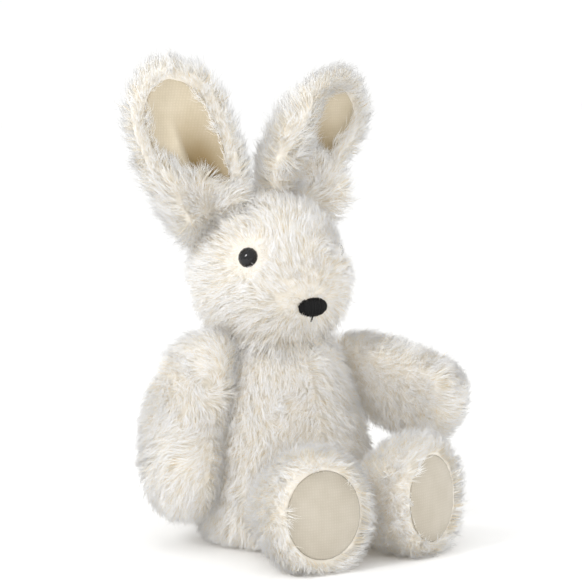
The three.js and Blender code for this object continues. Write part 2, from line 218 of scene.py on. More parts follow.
# %% [markdown]
# ## The pile
#
# The long pile is acrylic fibre, off-white. The warm beige deep between the fibres is painted
# shade, which stands for the shade down in the pile. A fibre is thinner than the view can show,
# so each strand here stands for a few fibres that cling together, 0.3 mm thick. Colour could
# come from a texture along the strand, but here the lower half of a strand has one colour and
# its end a paler one, in separate material slots; the darker lower half is painted shade. That
# keeps the colours as plain values that any viewer can show. There are four of them, from the
# warm beige of the painted shade deep in the pile to the near white of its tips. The high
# roughness makes the fibres matt, and the sheen gives the soft bright edge of fur against the
# light.


# %% Pile materials
def pile_material(name, colour, roughness, glow):
    """Acrylic pile: matt, with a soft sheen, and a roughness that wanders along the fabric.

    Real fibres pass light on to each other, which a solid strand can't, so each material adds a
    little warm light of its own, most of it deep in the pile."""
    made, tree, surface = material(
        name,
        colour,
        Roughness=roughness,
        Sheen_Weight=0.35,
        Sheen_Roughness=0.6,
        Specular_IOR_Level=0.25,
        Emission_Color=linear("fff3df"),
        Emission_Strength=glow,
    )
    place = add(tree, "ShaderNodeTexCoord").outputs["Object"]
    # The patches of the fabric are about 8 mm across, so the noise repeats 125 times in a metre.
    patches = add(tree, "ShaderNodeTexNoise", links={"Vector": place}, Scale=125.0, Detail=2.0)
    spread = add(
        tree,
        "ShaderNodeMapRange",
        links={"Value": patches.outputs["Fac"]},
        To_Min=roughness - 0.15,
        To_Max=roughness + 0.1,
    )
    tree.links.new(spread.outputs["Result"], surface.inputs["Roughness"])
    return made


PILE = [
    # The root and warm colours are painted shade deep in the pile; the fibre itself is off-white.
    pile_material("acrylic_pile_root_painted_shade", "e6d6b8", 0.85, 0.12),
    pile_material("acrylic_pile_warm_painted_shade", "f1ece0", 0.75, 0.09),
    pile_material("acrylic_pile_pale", "f7f5f2", 0.7, 0.06),
    pile_material("acrylic_pile_tip", "fafafa", 0.65, 0.04),
]
# The knitted cloth that the pile grows from is matt, and hardly shows between the strands.
BACKING = pile_material("knitted_backing", "eee8dd", 0.9, 0.08)
print("pile materials", [made.name for made in PILE])

# %% [markdown]
# ## Padded bodies
#
# Each part of the toy is a closed fabric skin, pushed out by its stuffing and held in by its
# seams. The CAD solids give its size. They are joined and remeshed into one even skin of small
# squares, and then cloth simulation inflates the skin a little while the seam lines stay
# pinned, so that the panels swell between their seams as sewn panels do. Sculpting could give
# the same swell, but the simulation works it out from the seams. The move is capped, because
# the pile goes on top.


# %% Joining nodes into one even skin
def joined_copy(name, nodes):
    """One new mesh object with the faces of several CAD nodes."""
    points, faces, start = [], [], 0
    for node in nodes:
        own = points_of(frame["nodes"][node])
        points.append(own)
        faces.append(triangles_of(frame["nodes"][node]) + start)
        start += len(own)
    return new_piece(name, np.concatenate(points), [np.concatenate(faces)])


def outer_shell(piece):
    """Keeps the largest of a mesh's separate surfaces.

    Each vertex starts with its own number and takes the lowest number along its edges, again
    and again, until every surface has one number of its own."""
    points, faces = points_of(piece), triangles_of(piece)
    edges = np.concatenate([faces[:, [0, 1]], faces[:, [1, 2]], faces[:, [2, 0]]])
    label = np.arange(len(points))
    while True:
        low = np.minimum(label[edges[:, 0]], label[edges[:, 1]])
        spread = label.copy()
        np.minimum.at(spread, edges[:, 0], low)
        np.minimum.at(spread, edges[:, 1], low)
        if (spread == label).all():
            break
        label = spread
    names, counts = np.unique(label, return_counts=True)
    keep = label == names[counts.argmax()]
    number = np.cumsum(keep) - 1
    kept = faces[keep[faces[:, 0]]]
    return new_piece(piece.name, points[keep], [number[kept]]), len(names)


def remeshed(piece, voxel):
    """The piece as one even skin of squares of that size."""
    remesh = piece.modifiers.new("even skin", "REMESH")
    remesh.mode = "VOXEL"
    remesh.voxel_size = voxel
    remesh.use_smooth_shade = True
    return finished(piece)


def panels(*names):
    """The CAD nodes whose names start with any of these words."""
    return [n for n in frame["nodes"] if n.startswith(names)]


print("the head is sewn from", panels("head_", "chin_"))

# %% Inflating a skin
PRESSURE = 4.0
FRAMES = 20
FLOOR_SIDE = 0.2 * MM


def plumped(piece, pinned, cap):
    """Inflates a closed skin by cloth simulation.

    Pressure pushes every face out along its normal, stretch holds the fabric together, and the
    pinned vertices stay. No vertex moves further than cap, and none goes through the floor."""
    before = points_of(piece)
    seams = piece.vertex_groups.new(name="seams")
    seams.add(np.nonzero(pinned)[0].tolist(), 1.0, "REPLACE")
    cloth = piece.modifiers.new("stuffing", "CLOTH")
    cloth.settings.vertex_group_mass = "seams"
    cloth.settings.use_pressure = True
    cloth.settings.uniform_pressure_force = PRESSURE
    cloth.settings.effector_weights.gravity = 0
    cloth.point_cache.frame_end = FRAMES
    for number in range(1, FRAMES + 1):
        scene.frame_set(number)
    shown = piece.evaluated_get(bpy.context.evaluated_depsgraph_get())
    move = points_of(shown) - before
    piece.modifiers.clear()
    scene.frame_set(1)
    length = np.linalg.norm(move, axis=1, keepdims=True)
    move *= np.minimum(1, cap / np.maximum(length, 1e-9))
    after = before + move
    after[:, 2] = np.maximum(after[:, 2], FLOOR_SIDE)
    move_points(piece, after)
    print(f"{piece.name}: swells {length.max() / MM:.1f} mm at most, capped at {cap / MM:.1f}")


print("a skin is inflated for", FRAMES, "frames")

# %% One padded body
VOXEL = 4 * MM
SEAM_HOLD = 2.6 * MM


def padded_body(name, body, nodes, seam, cap=1.6 * MM, voxel=VOXEL):
    """A padded skin over some CAD nodes. seam says which points lie on a seam."""
    rough = remeshed(joined_copy(name + "_rough", nodes), voxel)
    piece, surfaces = outer_shell(rough)
    bpy.data.objects.remove(rough)
    piece.name = name
    plumped(piece, seam(points_of(piece)), cap)
    piece.modifiers.new("round", "SUBSURF")
    piece = finished(piece)
    piece.data.materials.clear()
    piece.data.materials.append(BACKING)
    piece.data.polygons.foreach_set("use_smooth", np.full(len(piece.data.polygons), True))
    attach(piece, body)
    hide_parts(*nodes)
    print(f"{name}: {len(piece.data.polygons)} faces, the outermost of {surfaces} surfaces")
    return piece


print("cloth squares of", VOXEL / MM, "mm, held within", SEAM_HOLD / MM, "mm of a seam")

# %% [markdown]
# ## Torso and head
#
# The torso is sewn from two front and two back panels, which meet in centre seams. The head has
# two side panels, a strip between them that runs over the crown, and a small panel at the chin.
# The seams are what the stuffing can't push out, so they are the pinned vertices.

# %% Torso and head skins
GUSSET_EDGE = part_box("head_gusset")[1].x


def torso_seams(p):
    """The centre seams lie on x = 0, at the front and at the back."""
    return np.abs(p[:, 0]) < SEAM_HOLD


def head_seams(p):
    """The seams on both sides of the strip that runs over the head."""
    return np.abs(np.abs(p[:, 0]) - GUSSET_EDGE) < SEAM_HOLD / 2


torso = padded_body("torso_skin", "torso", panels("torso_", "seat_"), torso_seams)
head = padded_body("head_skin", "head", panels("head_", "chin_"), head_seams)

# %% [markdown]
# ## Arms, legs, ears and tail
#
# An arm or a leg is an outer and an inner panel around its stuffing, with one seam all round,
# and each rides on its own body, so that it can swing. An ear is a single bent leaf without
# stuffing. Low on its front the long pile is turned over the lining's corner and stitched down,
# which leaves the lining in a slanting opening. The tail is a stuffed pompom.


# %% Places on a limb and on an ear
def mid_seam(nodes, axis):
    """A seam test for a limb: points near the plane between its two panels."""
    between = (middle(nodes[0]) + middle(nodes[1])) / 2

    def near(p):
        return np.abs((p - between) @ unit(axis)) < SEAM_HOLD

    return near


def joint(name):
    """The pivot and the axis of a joint."""
    found = next(j for j in frame["record"]["behaviour"]["joints"] if j["name"] == name)
    return np.array(found["pos_m"]), unit(found["axis"])


def normals_of(thing):
    """The normals at a mesh object's vertices."""
    flat = np.empty(len(thing.data.vertices) * 3, np.float32)
    thing.data.vertex_normals.foreach_get("vector", flat)
    return flat.reshape(-1, 3)


def lining_place(node, points):
    """Where points lie on an ear lining, across it and along it, each from -1 to 1 between its
    rims, and the way that the lining faces."""
    spots = points_of(frame["nodes"][node])
    base, axis = joint(node.replace("lining_", "") + "_fold")
    along = unit(middle(node) - base)
    front = unit(np.cross(axis, along))
    front = front * np.sign(-front[1])
    leaf = np.stack([np.cross(along, front), along], 1)
    half = np.abs((spots - middle(node)) @ leaf).max(0)
    return (points - middle(node)) @ leaf / half, front


def turned_over(node, across, along):
    """Where the pile is turned over the lower corner of an ear lining and stitched down: 1 well
    inside that corner, and 0 where the lining shows."""
    if node.endswith("right"):
        edge = -0.9 + 2.2 * (-0.05 - along)
    else:
        edge = -0.5 + 2.0 * np.maximum(0.1 - along, 0)
    return rising(edge - across, 0, 0.5)


print("the right ear folds about", joint("ear_right_fold")[1])

# %% Limb, ear and tail skins
ROLL = 10 * MM
SIDES = ("left", "right")


def roll_over(piece, node):
    """Raises an ear's front by ROLL where the pile is turned over the lining's corner."""
    p = points_of(piece)
    place, front = lining_place(node, p)
    share = turned_over(node, *place.T) * (1 - rising(np.abs(place[:, 0]), 0.7, 1.15))
    facing = rising(normals_of(piece) @ front, 0.1, 0.5)
    share *= (1 - rising(np.abs(place[:, 1]), 0.9, 1.3)) * facing
    p += ROLL * share[:, None] * front
    move_points(piece, p)


def no_seam(p):
    """No point is held."""
    return np.zeros(len(p), bool)


limbs = {}
for side in SIDES:
    shoulder_axis = joint(f"shoulder_{side}")[1]
    arm_nodes = [f"arm_{part}_{side}" for part in ("outer", "inner", "stuffing")]
    limbs["arm", side] = padded_body(
        f"arm_skin_{side}", f"{side}_arm", arm_nodes, mid_seam(arm_nodes, shoulder_axis)
    )
    hip_axis = joint(f"hip_{side}")[1]
    leg_nodes = [f"leg_{part}_{side}" for part in ("outer", "inner", "stuffing")]
    limbs["leg", side] = padded_body(
        f"leg_skin_{side}", f"{side}_leg", leg_nodes, mid_seam(leg_nodes, hip_axis)
    )
    limbs["ear", side] = padded_body(
        f"ear_skin_{side}",
        f"{side}_ear",
        [f"ear_back_{side}"],
        no_seam,
        cap=1 * MM,
        voxel=2.5 * MM,
    )
    roll_over(limbs["ear", side], f"ear_lining_{side}")
tail = padded_body("tail_skin", "torso", panels("tail_"), no_seam, voxel=3 * MM)

# %% [markdown]
# ## Growing the pile
#
# Pile fabric has a nap: its fibres all lean one way, as the fabric was cut and sewn. On this toy
# the nap runs from the nose over the head, down the torso, and out along each limb and ear.
# The fibres cling together in locks a few millimetres apart, and each lock curls its own way.
#
# Blender can grow hair from a particle system or from hair curves, but neither is a mesh, and
# this toy has to be made of meshes. So a strand is a thin three-sided spike on a bent line. The
# line is a quadratic curve from the root, which first stands up and then leans with the nap, and
# its tip is drawn towards the tip of its lock. All strands of a piece are worked out together.


# %% Roots, locks and a wandering direction
def scatter(piece, density):
    """Random points on a mesh, evenly by area, and the normals there.

    A triangle is drawn with a chance in proportion to its area. The point in it is one corner
    plus random shares of its two edges, folded back where the shares add up to more than one."""
    p, t = points_of(piece), triangles_of(piece)
    a, b, c = p[t[:, 0]], p[t[:, 1]], p[t[:, 2]]
    cross = np.cross(b - a, c - a)
    area = np.linalg.norm(cross, axis=1) / 2
    count = int(area.sum() * density)
    pick = DRAWS.choice(len(t), count, p=area / area.sum())
    share = DRAWS.random((count, 2))
    share = np.where(share.sum(1, keepdims=True) > 1, 1 - share, share)
    root = a[pick] + share[:, :1] * (b - a)[pick] + share[:, 1:] * (c - a)[pick]
    return root, unit(cross)[pick]


def nearest(points, others):
    """For each point, the number of the nearest of the others, and the distance to it."""
    found = np.empty(len(points), int)
    away = np.empty(len(points))
    size = (others**2).sum(1)
    for start in range(0, len(points), 4000):
        some = points[start : start + 4000]
        square = (some**2).sum(1)[:, None] + size - 2 * some @ others.T
        found[start : start + 4000] = square.argmin(1)
        away[start : start + 4000] = np.sqrt(np.maximum(square.min(1), 0))
    return found, away


def wander(points, size, seed):
    """A smooth random vector at each point.

    Each of its parts is a sum of six sine waves in random directions, with wavelengths near
    size."""
    draws = np.random.default_rng(seed)
    waves = unit(draws.normal(size=(6, 3))) * (2 * np.pi / size)
    waves *= draws.uniform(0.6, 1.4, (6, 1))
    phase = points @ waves.T
    parts = [np.sin(phase + draws.uniform(0, 2 * np.pi, 6)).sum(1) for _ in range(3)]
    return np.stack(parts, 1) / 3


print("one wandering direction", unit(wander(CAD_BOX[1:], 45 * MM, 1))[0].round(2))

# %% Strands as one mesh
WIDTH = 0.15 * MM
# Each ring of a strand: how far along it is, and its share of the strand's width.
RINGS = ((0.0, 1.0), (0.5, 0.85))
SOFTNESS = 0.85


def spikes(name, root, bend, tip, width, normal):
    """Three-sided spikes, each closed at its root, along quadratic curves.

    The middle of ring k is (1-t)^2 root + 2t(1-t) bend + t^2 tip with t from RINGS, and its
    three corners stand around the line at a third of a turn from each other. A corner is shaded
    with its own normal plus SOFTNESS times the skin's, because light passes between real fibres
    and evens them out."""
    turn = np.arange(3) * 2 * np.pi / 3 + np.pi / 2
    side = unit(np.cross(tip - root, bend - root + 1e-6))
    rows, shading = [], []
    for t, share in RINGS:
        centre = (1 - t) ** 2 * root + 2 * t * (1 - t) * bend + t**2 * tip
        along = unit((1 - t) * (bend - root) + t * (tip - bend))
        up = np.cross(along, side)
        radius = (width * share)[:, None, None]
        corner = np.cos(turn)[:, None] * side[:, None] + np.sin(turn)[:, None] * up[:, None]
        rows.append(centre[:, None] + radius * corner)
        shading.append(unit(corner + SOFTNESS * normal[:, None]))
    points = np.concatenate([*rows, tip[:, None]], axis=1)
    shading = np.concatenate([*shading, unit(normal + along)[:, None]], axis=1)
    each = points.shape[1]
    first = (np.arange(len(root)) * each)[:, None, None]
    j = np.arange(3)
    k = (j + 1) % 3
    last = 3 * (len(RINGS) - 1)
    bands = [np.stack([r + j, r + k, r + 3 + k, r + 3 + j], 1) for r in range(0, last, 3)]
    quads = (first + np.concatenate(bands)).reshape(-1, 4)
    ends = np.concatenate([[[0, 2, 1]], np.stack([last + j, last + k, np.full(3, each - 1)], 1)])
    triangles = (first + ends).reshape(-1, 3)
    piece = new_piece(name, points.reshape(-1, 3), [quads, triangles])
    piece.data.normals_split_custom_set_from_vertices(shading.reshape(-1, 3))
    return piece


def colour_strands(piece, shade):
    """Gives each strand its materials. shade 0 is the warmest strand and shade 1 the palest, and
    the end of a strand is one or two steps paler than its lower half. The warmer lower half is
    painted shade deep in the pile."""
    for made in PILE:
        piece.data.materials.append(made)
    low = np.clip(np.floor(shade * 2.2 + 0.5), 0, 2).astype(int)
    high = np.clip(low + 1 + (shade > 0.35), 1, 3).astype(int)
    bands = np.repeat(low, 3 * (len(RINGS) - 1))
    ends = np.stack([low, high, high, high], 1).ravel()
    slots = np.concatenate([bands, ends]).astype(np.int32)
    piece.data.polygons.foreach_set("material_index", slots)


print("a strand has", 3 * len(RINGS) + 1, "points")

# %% [markdown]
# ## Where no strand may be
#
# A fibre can't go through the next limb, so its bend and its tip are moved out of every other
# skin. The soles and the linings are bare of long pile, and around an eye or the nose the maker
# trims it back. Both tests find the nearest of many random points on the other surface.

# %% Keeping clear of neighbours and bare pieces
SKINS = {"torso": torso, "head": head, "tail": tail}
SKINS.update({f"{part}_{side}": piece for (part, side), piece in limbs.items()})
NEIGHBOURS = {name: scatter(piece, 0.12e6) for name, piece in SKINS.items()}


def clear_of(own, points, gap):
    """How far each point must move, and which way, to stand gap outside the other skins."""
    move = np.zeros_like(points)
    for name, (spots, normals) in NEIGHBOURS.items():
        if name == own:
            continue
        low, high = spots.min(0) - gap, spots.max(0) + gap
        inside = np.nonzero(((points > low) & (points < high)).all(1))[0]
        if not len(inside):
            continue
        found, away = nearest(points[inside], spots)
        depth = gap - ((points[inside] - spots[found]) * normals[found]).sum(1)
        depth[(depth < 0) | (away > 25 * MM)] = 0
        move[inside] += depth[:, None] * normals[found]
    return move


def bare_spots(node):
    """Points all over a bare piece and the way it faces there. Its narrow edges are left out,
    and so is the turned corner of an ear lining."""
    spots, facing = scatter(frame["nodes"][node], 2.5e6)
    if node.startswith("ear_lining"):
        place, front = lining_place(node, spots)
        keep = (facing @ front > 0.3) & (turned_over(node, *place.T) < 0.05)
    elif node.startswith("sole"):
        front = flat_frame(spots, middle(node))[3]
        keep = facing @ front > 0.5
    else:
        # The pile is trimmed back from the edge of an eye and of the nose, and in front of it.
        centre = spots.mean(0)
        facing = np.broadcast_to(unit(centre - points_of(head).mean(0)), spots.shape)
        spots = centre + 1.08 * (spots - centre) + 3 * MM * facing
        keep = np.ones(len(spots), bool)
    return spots[keep], facing[keep]


def covered(root, normal, spots, facing):
    """Which roots lie under a bare piece or level with it, and less than 1.1 mm outside its
    edge, measured at a right angle to the way it faces there. A root that faces the other way
    is on the back and isn't covered."""
    found, away = nearest(root, spots)
    apart = root - spots[found]
    ahead = (apart * facing[found]).sum(1)
    beside = np.linalg.norm(apart - ahead[:, None] * facing[found], axis=1)
    same_way = (normal * facing[found]).sum(1) > 0
    return same_way & (away < 6 * MM) & (beside < 1.1 * MM) & (ahead < 1 * MM)


print(sum(len(spots) for spots, _ in NEIGHBOURS.values()), "points stand for the skins")

# %% Growing the pile of one skin
DENSITY = 1.38e6
LONG = 11.5 * MM
LOCK_AREA = 13 * MM**2
GATHER = 0.36
FLOOR_BARE = 1.5 * MM
FLOOR_GAP = 0.6 * MM
ROOT_DEPTH = 0.8 * MM


def pile(name, skin, body, nap, length, cut=None, density=DENSITY, lift=0.9, bare=()):
    """Grows the pile on a skin, as one piece, or one for each of its panels.

    nap gives the leaning direction at each root, and length the strand lengths there. cut gives
    the panels' names and says which of them a root is on. density is in strands for a square
    metre, and lift says how steeply they stand. Where the skin is pressed against a neighbour
    the strands lie flat, so that the cloth isn't bare there when a limb moves away. No strand
    grows under the bare pieces."""
    root, normal = scatter(SKINS[skin], density)
    overlap = np.linalg.norm(clear_of(skin, root, 0.5 * MM), axis=1)
    keep = overlap < 3 * MM
    for other in bare:
        keep &= ~covered(root, normal, *bare_spots(other))
    keep &= root[:, 2] > FLOOR_BARE
    root, normal, pressed = root[keep], normal[keep], overlap[keep] > 0
    long = length(root)
    loose = np.minimum(long / LONG, 1)[:, None] ** 2
    lean = nap(root) + loose * (0.6 * wander(root, 45 * MM, 1) + 0.4 * wander(root, 14 * MM, 2))
    lean = unit(lean - (lean * normal).sum(1, keepdims=True) * normal)
    way = unit(lean + np.where(pressed, 0.15, lift)[:, None] * normal)
    long = long * DRAWS.uniform(0.8, 1.12, len(root))
    centres = DRAWS.choice(len(root), max(int(len(root) / density / LOCK_AREA), 2), replace=False)
    lock, _ = nearest(root, root[centres])
    curl = DRAWS.normal(size=(len(centres), 3)) * 0.3
    heads = root[centres] + (unit(way[centres] + curl) * (long[centres] * 1.05)[:, None])
    # A few guard hairs are longer than the rest and stray from their lock.
    guard = DRAWS.random(len(root)) < 0.15
    long = long * np.where(guard, 1.2, 1.0)
    stray = loose * DRAWS.normal(size=root.shape) * np.where(guard, 0.32, 0.2)[:, None]
    tip = root + unit(way + stray) * long[:, None]
    hold = GATHER * DRAWS.uniform(0.5, 1.2, len(root)) * np.where(guard, 0.3, 1.0)
    tip += hold[:, None] * (heads[lock] - tip)
    stand = np.where(pressed, 0.08, 0.45)[:, None]
    bend = root + (stand * normal + 0.2 * curl[lock]) * long[:, None] + 0.2 * (tip - root)
    free = ~pressed
    bend[free] += clear_of(skin, bend[free], 1.5 * MM)
    tip[free] += clear_of(skin, tip[free], 2 * MM)
    root = root - ROOT_DEPTH * normal
    for line in (root, bend, tip):
        line[:, 2] = np.maximum(line[:, 2], FLOOR_GAP)
    width = WIDTH * DRAWS.uniform(0.7, 1.15, len(root))
    shade = DRAWS.random(len(root)) * 0.7 + 0.3 * DRAWS.random(len(centres))[lock]
    names, which = cut or (("",), lambda p: np.zeros(len(p), int))
    for number, panel in enumerate(names):
        part = which(root) == number
        piece = spikes(name + panel, root[part], bend[part], tip[part], width[part], normal[part])
        colour_strands(piece, shade[part])
        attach(piece, body)
    print(f"{name}: {len(root)} strands in {len(centres)} locks")


print("about", round(DENSITY * LOCK_AREA), "strands in a lock, and", LONG / MM, "mm is long pile")

# %% [markdown]
# ## The nap of the torso and the head
#
# The pile of the chest parts at its centre seam, and that of the face spreads from the nose. It
# is short on the muzzle, where it is trimmed, and long on the cheeks and the chin, where it
# hides the neck. The panels of each fabric body are pieces of their own, as they are sewn.

# %% Pile on the torso, head and tail
NOSE = middle("nose_stitching")
EYES = [middle("eye_left"), middle("eye_right")]


def torso_nap(p):
    """Down, and away from the centre seams with a push that falls off over 12 mm."""
    x = p[:, 0]
    parting = np.sign(x) * np.exp(-np.abs(x) / (12 * MM))
    return np.stack([0.9 * parting, 0 * x, -np.ones(len(p))], 1)


def head_nap(p):
    """Away from the nose, down under the chin and behind, and away from each eye near it."""
    below = 1 - rising(p[:, 2:], 120 * MM, 150 * MM)
    down = np.maximum(below, 1.6 * rising(p[:, 1:2], 20 * MM, 50 * MM))
    field = unit(p - NOSE) + [0, 0.2, -0.15] - down * [0, 0, 0.8]
    for eye in EYES:
        out = p - eye
        reach = np.linalg.norm(out, axis=1, keepdims=True) / (13 * MM)
        field += unit(out) * np.exp(-(reach**2)) * 5
    return field


def head_length(p):
    """Short beside the nose and the eyes, and longest on the lower cheeks and the chin.

    The pile is trimmed close around the right eye, and left long around the other one."""
    share = 0.45 + 0.55 * rising(np.linalg.norm(p - NOSE, axis=1), 8 * MM, 30 * MM)
    for eye, least in zip(EYES, (0.85, 0.22)):
        share *= least + (1 - least) * rising(np.linalg.norm(p - eye, axis=1), 7 * MM, 19 * MM)
    low = (1 - rising(p[:, 2], 118 * MM, 150 * MM)) * (1 - rising(p[:, 1], 15 * MM, 40 * MM))
    return LONG * share * (1 + 0.6 * low)


def even(share=1.0):
    """The same strand length everywhere."""
    return lambda p: np.full(len(p), LONG * share)


def ear_length(node):
    """Longer where the pile is turned over the lining's lower corner."""

    def length(p):
        return LONG * (0.95 + 0.3 * turned_over(node, *lining_place(node, p)[0].T))

    return length


def away_from(point):
    """A nap that spreads from a point."""
    return lambda p: unit(p - point)


TORSO_PANELS = (
    ("_front_right", "_front_left", "_back_right", "_back_left"),
    lambda p: (p[:, 0] > 0) + 2 * (p[:, 1] > middle("torso_stuffing")[1]),
)
HEAD_PANELS = (
    ("_side_right", "_crown", "_side_left"),
    lambda p: 1 + (p[:, 0] > GUSSET_EDGE).astype(int) - (p[:, 0] < -GUSSET_EDGE),
)
pile("torso_pile", "torso", "torso", torso_nap, even(0.95), TORSO_PANELS)
pile(
    "head_pile",
    "head",
    "head",
    head_nap,
    head_length,
    HEAD_PANELS,
    bare=("eye_left", "eye_right", "nose_stitching"),
)
pile("tail_pile", "tail", "torso", away_from(middle("tail_cover")), even(1.0), lift=1.5)

# %% [markdown]
# ## The nap of the limbs and the ears
#
# On a limb and on an ear the pile points away from the seam that joins it to the body. The legs
# are covered up to the soles, and the ears all round except for their linings.

# %% Pile on the limbs and ears
for side in SIDES:
    shoulder = joint(f"shoulder_{side}")[0]
    pile(f"arm_pile_{side}", f"arm_{side}", f"{side}_arm", away_from(shoulder), even(1.0))
    pile(
        f"leg_pile_{side}",
        f"leg_{side}",
        f"{side}_leg",
        away_from(joint(f"hip_{side}")[0]),
        even(0.9),
        bare=(f"sole_{side}",),
    )
    pile(
        f"ear_pile_{side}",
        f"ear_{side}",
        f"{side}_ear",
        away_from(joint(f"ear_{side}_fold")[0]),
        ear_length(f"ear_lining_{side}"),
        density=1.5e6,
        bare=(f"ear_lining_{side}",),
    )

# %% [markdown]
# ## Short velour
#
# The ear linings and the soles are a short knitted velour, cream-beige, and a shade lighter in
# the ears. Its loops are about 0.8 mm apart, which is finer than the view can show, so they are
# drawn at 1.6 mm. The nap of velour catches the light at a low angle, which the sheen gives, and
# it lies in patches that are a little lighter or darker where a finger has brushed it. An image
# of the cloth could give all this, but two crossed waves and a noise need no image.


# %% Velour material
LOOP = 1.6 * MM


def velour(name, colour, dark, painted_fold_shade):
    """Short knitted velour, with its loops and its brushed patches between dark and colour.
    Where the mesh has the attribute fold, the colour is mixed towards the last colour, which is
    painted shade: the dark warm shade of a fold, where the light goes from cloth to cloth."""
    made, tree, surface = material(
        name, colour, Roughness=0.85, Sheen_Weight=0.4, Sheen_Roughness=0.5, Specular_IOR_Level=0.2
    )
    place = add(tree, "ShaderNodeTexCoord").outputs["Object"]
    patches = add(tree, "ShaderNodeTexNoise", links={"Vector": place}, Scale=90.0, Detail=3.0)
    # One wave for each loop: the texture turns 20 radians for a unit of its scale.
    wales, courses = (
        add(
            tree,
            "ShaderNodeTexWave",
            {"bands_direction": way},
            {"Vector": place},
            Scale=2 * math.pi / 20 / LOOP,
            Distortion=2.5,
            Detail=2.0,
        )
        for way in "XZ"
    )
    loops = add(
        tree,
        "ShaderNodeMath",
        {"operation": "MULTIPLY"},
        {0: wales.outputs["Fac"], 1: courses.outputs["Fac"]},
    )
    both = add(
        tree,
        "ShaderNodeMath",
        {"operation": "MULTIPLY_ADD"},
        {0: loops.outputs[0], 2: patches.outputs["Fac"]},
    )
    both.inputs[1].default_value = 0.32
    tint = add(tree, "ShaderNodeMix", {"data_type": "RGBA"}, {0: both.outputs[0]})
    tint.inputs[6].default_value = linear(dark)
    tint.inputs[7].default_value = linear(colour)
    # The attribute fold says where the velour gets its painted fold shade.
    fold = add(tree, "ShaderNodeAttribute", {"attribute_name": "fold"})
    fold_shade_mix = add(
        tree, "ShaderNodeMix", {"data_type": "RGBA"}, {0: fold.outputs["Fac"], 6: tint.outputs[2]}
    )
    fold_shade_mix.inputs[7].default_value = linear(painted_fold_shade)
    tree.links.new(fold_shade_mix.outputs[2], surface.inputs["Base Color"])
    bump = add(tree, "ShaderNodeBump", links={"Height": both.outputs[0]}, Strength=0.35)
    bump.inputs["Distance"].default_value = 0.4 * MM
    tree.links.new(bump.outputs["Normal"], surface.inputs["Normal"])
    return made


# The last colour of each velour is the painted shade of a fold.
VELOUR = velour("knitted_velour", "cac2b4", "b4ab99", "99825a")
LINING_VELOUR = velour("lighter_knitted_velour", "ddd1bb", "c3b69b", "917a50")
print("velour loops", LOOP / MM, "mm apart in", VELOUR.name, "and", LINING_VELOUR.name)

# %% [markdown]
# ## Soles
#
# A sole is an oval of velour, sewn into the end of the leg and pushed out by the stuffing. It is
# worked out as rings around its middle: the rings in front rise to a shallow dome and pucker
# at the seam, where each stitch pulls the cloth in, and the rings behind close it. A cloth
# simulation would give the dome too, but not a pucker for each stitch.


# %% Domed ovals
def domed_oval(name, points, outward, dome, rings=26, sides=96, stitches=30):
    """A closed oval cushion of cloth.

    Ring t runs from 0 at the middle of the front over 1 at the rim to 2 at the middle of the
    back. In front the height is dome times 1 - t^2.4, less a pucker of cosine waves near the
    rim; behind it is a flat 0.9 mm below."""
    centre, across, up, normal, half = flat_frame(points, outward)
    t, a = np.meshgrid(
        np.linspace(0, 2, 2 * rings + 1)[1:-1], np.arange(sides) * 2 * np.pi / sides, indexing="ij"
    )
    reach = np.where(t <= 1, t, 2 - t)
    pucker = 0.35 * MM * (0.5 + 0.5 * np.cos(stitches * a)) * reach**8
    height = np.where(t <= 1, dome * (1 - reach**2.4) - pucker, -0.9 * MM)
    spot = np.stack([reach * np.cos(a) * half[0], reach * np.sin(a) * half[1], height], -1)
    poles = np.array([[0, 0, dome], [0, 0, -0.9 * MM]])
    local = np.concatenate([spot.reshape(-1, 3), poles])
    world = centre + local @ np.stack([across, up, normal])
    rows = len(t)
    grid = np.arange(rows * sides).reshape(rows, sides)
    side = np.roll(grid, -1, 1)
    quads = np.stack([grid[:-1], grid[1:], side[1:], side[:-1]], -1).reshape(-1, 4)
    front = np.stack([np.full(sides, rows * sides), grid[0], side[0]], 1)
    behind = np.stack([np.full(sides, rows * sides + 1), side[-1], grid[-1]], 1)
    return new_piece(name, world, [quads, np.concatenate([front, behind])])


def given(piece, body, surface, node):
    """Gives a piece its material, its body and the CAD node it stands for."""
    piece.data.materials.clear()
    piece.data.materials.append(surface)
    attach(piece, body)
    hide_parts(node)


for side in SIDES:
    node = f"sole_{side}"
    spots = points_of(frame["nodes"][node])
    outward = middle(node) - joint(f"hip_{side}")[0]
    sole = domed_oval(f"sole_dome_{side}", spots, outward, dome=2.6 * MM)
    given(sole, f"{side}_leg", VELOUR, node)
    print(node, "half sizes", flat_frame(spots, spots[0])[4] / MM)

# %% [markdown]
# ## Ear linings
#
# A lining is one leaf of velour, sewn to the ear around its rim and loose between. It takes the
# cupped shape of its CAD leaf, and buckles along the ear, because the cup is tighter than the
# cloth. The buckle always lies in the same place, so it is a formula rather than a simulation:
# a lobe that rises slowly from the outer rim and drops steeply into the fold beside it.

